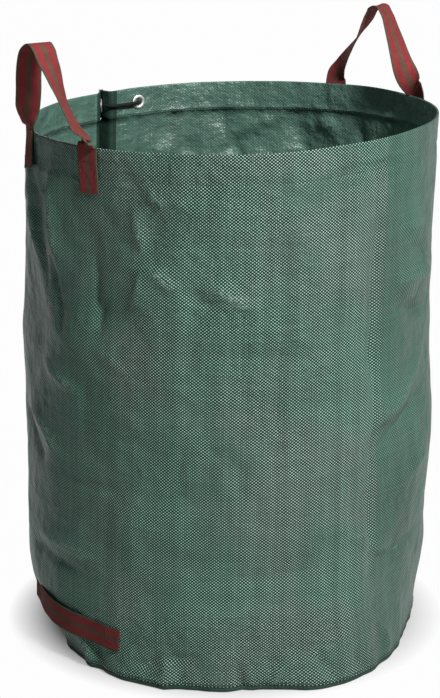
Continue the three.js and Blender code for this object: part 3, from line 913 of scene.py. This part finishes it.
def tack_stitches(name, strip, ends, material):
    """A sewn box with its diagonals at each end of a strap, on its outer face."""
    spots, ways = [], []
    run = length_along(strip.line)

    def at(distance, rows):
        return np.array([np.interp(distance, run, rows[:, k]) for k in range(3)])

    def place(distance, across):
        middle, normal = at(distance, strip.line), at(distance, strip.face)
        flip = 1 if np.dot(normal[:2], middle[:2]) > 0 else -1
        lift = normal * flip * (WEB_THICKNESS / 2 + STITCH_LIFT)
        return middle + at(distance, strip.width) * across + lift

    def sew(start, end):
        start, end = np.array(start), np.array(end)
        count = max(int(np.linalg.norm(end - start) / TACK_SPACING), 2)
        for i in range(count):
            first = place(*(start + (end - start) * (i + 0.14) / count))
            last = place(*(start + (end - start) * (i + 0.86) / count))
            spots.append((first + last) / 2)
            ways.append(last - first)

    edge = WEB_WIDTH / 2 - TACK_INSET
    for low, high in ends:
        corners = [(low, -edge), (low, edge), (high, edge), (high, -edge)]
        for a, b in zip(corners, corners[1:] + corners[:1]):
            sew(a, b)
        sew(corners[0], corners[2])
        sew(corners[1], corners[3])
    return stitch_run(name, spots, ways, TACK_RADIUS, TACK_LENGTH, material)


# Shader maths
class Wire:
    """A socket that makes Math nodes when it is used in a sum."""

    def __init__(self, shader, socket):
        self.shader = shader
        self.socket = socket

    def math(self, operation, *others):
        values = [self] + list(others)
        node = self.shader.add("ShaderNodeMath", {"operation": operation}, dict(enumerate(values)))
        return Wire(self.shader, node.outputs[0])

    def __add__(self, other):
        return self.math("ADD", other)

    def __radd__(self, other):
        return self.math("ADD", other)

    def __sub__(self, other):
        return self.math("SUBTRACT", other)

    def __rsub__(self, other):
        return self.shader.number(other).math("SUBTRACT", self)

    def __mul__(self, other):
        return self.math("MULTIPLY", other)

    def __rmul__(self, other):
        return self.math("MULTIPLY", other)

    def __truediv__(self, other):
        return self.math("DIVIDE", other)

    def __pow__(self, other):
        return self.math("POWER", other)

    def __abs__(self):
        return self.math("ABSOLUTE")

    def sin(self):
        return self.math("SINE")

    def floor(self):
        return self.math("FLOOR")

    def clamp(self):
        node = self.shader.add("ShaderNodeClamp", {}, {0: self})
        return Wire(self.shader, node.outputs[0])


class Shader:
    """One material's nodes. Any node is made by add, from its type, settings and inputs."""

    def __init__(self, name):
        self.material = bpy.data.materials.new(name)
        self.material.use_nodes = True
        self.tree = self.material.node_tree
        self.tree.nodes.clear()

    def add(self, kind, settings, inputs):
        node = self.tree.nodes.new(kind)
        for key, value in settings.items():
            setattr(node, key, value)
        for key, value in inputs.items():
            self.feed(node.inputs[key], value)
        return node

    def feed(self, socket, value):
        if isinstance(value, Wire):
            self.tree.links.new(value.socket, socket)
        elif isinstance(value, bpy.types.NodeSocket):
            self.tree.links.new(value, socket)
        elif isinstance(value, tuple) and socket.type == "RGBA" and len(value) == 3:
            socket.default_value = (*value, 1)
        else:
            socket.default_value = value

    def number(self, value):
        node = self.add("ShaderNodeMath", {"operation": "ADD"}, {0: value, 1: 0.0})
        return Wire(self, node.outputs[0])

    def uv(self, name):
        uv = self.add("ShaderNodeUVMap", {"uv_map": name}, {})
        parts = self.add("ShaderNodeSeparateXYZ", {}, {0: uv.outputs[0]})
        return Wire(self, parts.outputs[0]), Wire(self, parts.outputs[1])

    def place(self):
        return self.add("ShaderNodeTexCoord", {}, {}).outputs["Object"]

    def noise(self, vector, scale, detail=3.0, roughness=0.5):
        node = self.add("ShaderNodeTexNoise", {}, {
            "Vector": vector, "Scale": scale, "Detail": detail, "Roughness": roughness,
        })
        return Wire(self, node.outputs[0])

    def chance(self, value):
        node = self.add("ShaderNodeTexWhiteNoise", {"noise_dimensions": "1D"}, {"W": value})
        return Wire(self, node.outputs[0])

    def joined(self, x, y, z=0.0):
        return self.add("ShaderNodeCombineXYZ", {}, {0: x, 1: y, 2: z}).outputs[0]

    def mix(self, factor, first, second):
        node = self.add("ShaderNodeMix", {"data_type": "RGBA"}, {0: factor, 6: first, 7: second})
        return node.outputs[2]

    def scaled(self, color, amount):
        node = self.add("ShaderNodeVectorMath", {"operation": "SCALE"}, {0: color, "Scale": amount})
        return node.outputs[0]

    def bump(self, height, distance, strength=1.0, under=None):
        inputs = {"Height": height, "Distance": distance, "Strength": strength}
        if under is not None:
            inputs["Normal"] = under
        return self.add("ShaderNodeBump", {}, inputs).outputs[0]

    def finish(self, **values):
        inputs = {key.replace("_", " "): value for key, value in values.items()}
        node = self.add("ShaderNodeBsdfPrincipled", {}, inputs)
        self.add("ShaderNodeOutputMaterial", {}, {0: node.outputs[0]})
        return self.material


# Materials
def woven_cloth(name, shadow_tape, light_tape, grey_tape, calm_and_shade_tape, gloss, shine, crumpling):
    """Plain weave of flat plastic tapes: dark upright ones and pale level ones that bulge
    where they cross over, whose pale colour peaks at each crest as a painted highlight. On the
    lit front the pale tapes stand out as painted glints; on the rest of the cloth they are mixed
    toward a calmer colour, which on the outside is a painted shade."""
    shader = Shader(name)
    u, v = shader.uv("weave")
    fold_highlight, _ = shader.uv("fold_highlight")
    across, up = u / TAPE_ROUND, v / TAPE_UP
    wave_round = (across * math.pi).sin()
    wave_up = (up * math.pi).sin()
    over = wave_round * wave_up
    level_on_top = (over * 3.0 + 0.5).clamp()
    crest = (abs(over) * 1.15).clamp()
    upright_tone = shader.chance(across.floor())
    level_tone = shader.chance(up.floor() + 77.3)
    streak = shader.noise(shader.joined(u * 46.0, v * 2.0), 1.0, 2.0)
    patch = shader.noise(shader.joined(u, v), 6.0, 3.0)
    drift = ((shader.noise(shader.joined(u, v, 9.0), 4.2, 3.0, 0.6) - 0.44) * 6.0).clamp()
    wander = (patch - 0.5) * 0.16
    # Lit front: painted glints on the pale tapes. Elsewhere, and in random smooth spots, calm mixes toward
    # the calmer tape colour, which on the outside is a painted shade
    lit_front = ((u + wander - GLINT_START) / GLINT_FADE).clamp() * ((GLINT_END - u) / GLINT_END_FADE).clamp()
    smooth_spots = ((shader.noise(shader.joined(u, v, 5.0), 7.0, 3.0, 0.6) - 0.56) * 9.0).clamp()
    calm = 1 - lit_front * (1 - smooth_spots * 0.6)
    pale = shader.mix(drift, light_tape, grey_tape)
    # The pale colour peaks at each crossing's crest and fades to the near-black dark tape: a painted
    # highlight and painted shade over the two-tone weave
    woven = shader.mix(level_on_top * crest, shadow_tape, pale)
    speckle = shader.noise(shader.joined(u, v, 4.0), 150.0, 3.0, 0.7)
    # Painted highlight: speckled pale grey on the crests of the folds
    painted_highlight = (fold_highlight * (speckle - 0.42) * 5.0).clamp() * 0.36
    color = shader.mix(painted_highlight, shader.mix(calm * 0.62, woven, calm_and_shade_tape), grey_tape)
    tone = 0.86 + upright_tone * 0.14 + level_tone * 0.12 + (streak - 0.5) * 0.55 + (patch - 0.5) * 0.6
    color = shader.scaled(color, tone)
    rough = gloss + (1 - level_on_top) * 0.10 + (patch - 0.5) * 0.14
    crumple = shader.noise(shader.joined(u, v), 30.0, 4.0, 0.62)
    crease = abs(shader.noise(shader.joined(u, v, 3.0), 12.0, 2.0) - 0.5)
    under = shader.bump(crumple - crease * 1.6, crumpling)
    normal = shader.bump(crest, TAPE_BULGE, 0.8, under)
    return shader.finish(Base_Color=color, Roughness=rough, Normal=normal, Specular_IOR_Level=shine)


def webbing(name, tone):
    """Ribbed polyester tape: red, with olive edges and an olive stripe down the middle."""
    shader = Shader(name)
    w, run = shader.uv("weave")
    wobble = (shader.noise(shader.joined(0.0, run), 160.0, 2.0) - 0.5) * 0.0010
    away = abs(w) + wobble
    edge = ((away - EDGE_STRIPE) * 1800.0).clamp()
    blotch = shader.noise(shader.joined(w * 3.0, run), 70.0, 2.0)
    stripe = 1 - ((away - MIDDLE_STRIPE - blotch * 0.0022) * 900.0).clamp()
    olive = (edge + stripe * (0.25 + blotch * 1.1)).clamp()
    rib = ((w / RIB_SPACING) * math.pi).sin()
    pick = ((run / PICK_SPACING) * math.pi).sin()
    weave = ((rib * pick) * 1.6 + 0.5).clamp()
    red = shader.mix(weave, (0.11, 0.013, 0.014), (0.33, 0.052, 0.056))
    green = shader.mix(weave, (0.030, 0.032, 0.018), (0.12, 0.115, 0.070))
    color = shader.mix(olive, red, green)
    worn = shader.noise(shader.joined(w, run), 60.0, 4.0)
    # A tone below 1 darkens the whole strap, a painted shade
    color = shader.scaled(color, (0.75 + worn * 0.5) * tone)
    height = abs(rib) ** 0.7 * 0.6 + weave * 0.4
    normal = shader.bump(height, 0.00035, 0.9)
    return shader.finish(Base_Color=color, Roughness=0.75, Normal=normal, Specular_IOR_Level=0.10)


def braided_cord(name):
    """Black braid whose strands show as fine bumps."""
    shader = Shader(name)
    strands = shader.noise(shader.place(), 900.0, 2.0)
    color = shader.mix(strands, (0.004, 0.004, 0.004), (0.030, 0.030, 0.032))
    normal = shader.bump(strands, 0.0006)
    return shader.finish(Base_Color=color, Roughness=0.7, Normal=normal, Specular_IOR_Level=0.1)


def plated_steel(name):
    """Plated eyelets, dulled here and there by handling."""
    shader = Shader(name)
    smudge = shader.noise(shader.place(), 320.0, 4.0)
    color = shader.mix(smudge, (0.78, 0.78, 0.77), (0.93, 0.93, 0.92))
    rough = 0.42 + smudge * 0.20
    return shader.finish(Base_Color=color, Roughness=rough, Metallic=1.0, Normal=shader.bump(smudge, 0.0001))


def sewing_thread(name, dark, light):
    """Twisted thread between two shades of its colour."""
    shader = Shader(name)
    twist = shader.noise(shader.place(), 1400.0, 2.0)
    color = shader.mix(twist, dark, light)
    return shader.finish(Base_Color=color, Roughness=0.6, Normal=shader.bump(twist, 0.0002))


def floor_material():
    """Pale floor that keeps the bag's shadow near it and fades into the plain background."""
    shader = Shader("pale_floor")
    spot = shader.place()
    distance = shader.add("ShaderNodeVectorMath", {"operation": "LENGTH"}, {0: spot}).outputs["Value"]
    near = 1 - ((Wire(shader, distance) - SHADOW_REACH) / SHADOW_FADE).clamp()
    path = shader.add("ShaderNodeLightPath", {}, {})
    seen = Wire(shader, path.outputs["Is Camera Ray"])
    seen = seen.math("MAXIMUM", Wire(shader, path.outputs["Is Glossy Ray"]))
    seen = seen.math("MAXIMUM", Wire(shader, path.outputs["Is Transmission Ray"]))
    grain = shader.noise(spot, 3.0)
    matte = shader.add("ShaderNodeBsdfDiffuse", {}, {0: shader.mix(grain, (0.48,) * 3, (0.52,) * 3)})
    glow = shader.add("ShaderNodeEmission", {}, {0: (1.0, 1.0, 1.0), 1: BACKGROUND_LEVEL})
    share = seen * (1 - near * 0.95)
    both = shader.add("ShaderNodeMixShader", {}, {0: share, 1: matte.outputs[0], 2: glow.outputs[0]})
    shader.add("ShaderNodeOutputMaterial", {}, {0: both.outputs[0]})
    return shader.material


# Floor, lamps and camera
def floor():
    source = bmesh.new()
    bmesh.ops.create_grid(source, x_segments=2, y_segments=2, size=FLOOR_HALF_SIZE)
    bmesh.ops.transform(source, matrix=Matrix.Translation((0, 0, -FLOOR_DROP)), verts=source.verts)
    smooth_piece("floor", source, floor_material())


def lamp(name, place, aim, size, power):
    data = bpy.data.lights.new(name, "AREA")
    data.shape = "RECTANGLE"
    data.size, data.size_y = size
    data.energy = power
    piece = linked(name, data)
    piece.location = place
    piece.rotation_mode = "QUATERNION"
    piece.rotation_quaternion = (Vector(aim) - Vector(place)).to_track_quat("-Z", "Y")


def studio():
    for settings in LAMPS:
        lamp(*settings)
    world = bpy.data.worlds.new("studio")
    world.use_nodes = True
    sky = world.node_tree.nodes["Background"]
    sky.inputs["Color"].default_value = (1, 1, 1, 1)
    sky.inputs["Strength"].default_value = SKY_LIGHT
    bpy.context.scene.world = world
    bpy.context.scene.view_settings.view_transform = "Standard"


def camera():
    data = bpy.data.cameras.new("camera")
    data.sensor_fit = "AUTO"
    data.sensor_width = SENSOR_WIDTH
    data.lens = FOCAL_PIXELS * SENSOR_WIDTH / PHOTO_HEIGHT
    data.clip_end = 100
    piece = linked("camera", data)
    piece.location = CAMERA_PLACE
    piece.rotation_euler = (math.pi / 2 - CAMERA_DROP, 0, 0)
    bpy.context.scene.camera = piece


# The whole bag
def stand_for(piece, slot, *nodes):
    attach(piece, "root")
    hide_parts(*nodes)


def cloth_materials():
    # Outside: its calmer tape colour, used off the lit front, is a painted shade
    outside = woven_cloth(
        "woven_outside", shadow_tape=(0.004, 0.014, 0.010), light_tape=(0.32, 0.57, 0.46),
        grey_tape=(0.39, 0.54, 0.47), calm_and_shade_tape=(0.036, 0.090, 0.068),
        gloss=0.38, shine=0.13, crumpling=0.0060)
    inside = woven_cloth(
        "woven_inside", shadow_tape=(0.018, 0.048, 0.036), light_tape=(0.25, 0.44, 0.37),
        grey_tape=(0.30, 0.42, 0.38), calm_and_shade_tape=(0.090, 0.180, 0.142),
        gloss=0.30, shine=0.45, crumpling=0.0085)
    # A dark copy of the cloth, a painted shade, for the inside of the cleft and for the base
    shade_cloth = woven_cloth(
        "woven_painted_shade", shadow_tape=(0.006, 0.018, 0.013), light_tape=(0.075, 0.150, 0.115),
        grey_tape=(0.09, 0.14, 0.11), calm_and_shade_tape=(0.024, 0.055, 0.042),
        gloss=0.50, shine=0.10, crumpling=0.0030)
    return outside, inside, shade_cloth


def cloth_pieces():
    outside, inside, shade_cloth = cloth_materials()
    wall = side_wall(outside, inside, shade_cloth)
    stand_for(wall, "cloth", "side_wall", "hoop")
    # The base takes the dark copy of the cloth, a painted shade
    stand_for(base_panel(shade_cloth), "cloth", "base_panel")


def handles():
    """Both loops and the low grip, whose webbing is darkened as a painted shade."""
    plain_webbing = webbing("striped_webbing", 1.0)
    painted_shade_webbing = webbing("shaded_webbing", 0.62)
    straps = {"left": left_handle(plain_webbing), "right": right_handle(plain_webbing), "lower": lower_handle(painted_shade_webbing)}
    for name, strap in straps.items():
        stand_for(strap.piece, "webbing", f"{name}_handle")
    return straps


def lacing():
    """Eyelets, their washers and the cord through them."""
    steel = plated_steel("plated_steel")
    for side in ("right", "left"):
        stand_for(eyelet(f"{side}_eyelet_metal", side, steel), "eyelet", f"{side}_eyelet")
        stand_for(washer(f"{side}_washer_metal", side, steel), "eyelet", f"{side}_eyelet_washer")
    stand_for(lashing_cord(braided_cord("black_braid")), "cord", "lashing_cord")


def round_stitches():
    """A row on each side of the hem and one round the foot."""
    thread = sewing_thread("dark_thread", (0.010, 0.020, 0.015), (0.04, 0.06, 0.05))
    rows = [
        ("hem_stitches_outside", HEM_LINE, STITCH_LIFT),
        ("hem_stitches_inside", HEM_LINE, -HEM_STACK - STITCH_LIFT),
        ("base_stitches", BASE_STITCH_HEIGHT, STITCH_LIFT),
    ]
    for name, z, out in rows:
        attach(ring_stitches(name, z, out, thread), "root")


def strap_stitches(straps):
    """A tack at both ends of each strap, between two distances from the strap's end."""
    thread = sewing_thread("red_thread", (0.05, 0.01, 0.01), (0.16, 0.03, 0.03))
    short = (TACK_START, REAR_SEWN_LENGTH - TACK_MARGIN)
    full = (TACK_START, SEWN_LENGTH - TACK_MARGIN)
    tacks = {"left": (short, full), "right": (full, full), "lower": (GRIP_TACK, GRIP_TACK)}
    for name, (first, last) in tacks.items():
        total = length_along(straps[name].line)[-1]
        ends = [first, (total - last[1], total - last[0])]
        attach(tack_stitches(f"{name}_tack", straps[name], ends, thread), "root")


camera()
studio()
floor()
cloth_pieces()
straps = handles()
lacing()
round_stitches()
strap_stitches(straps)
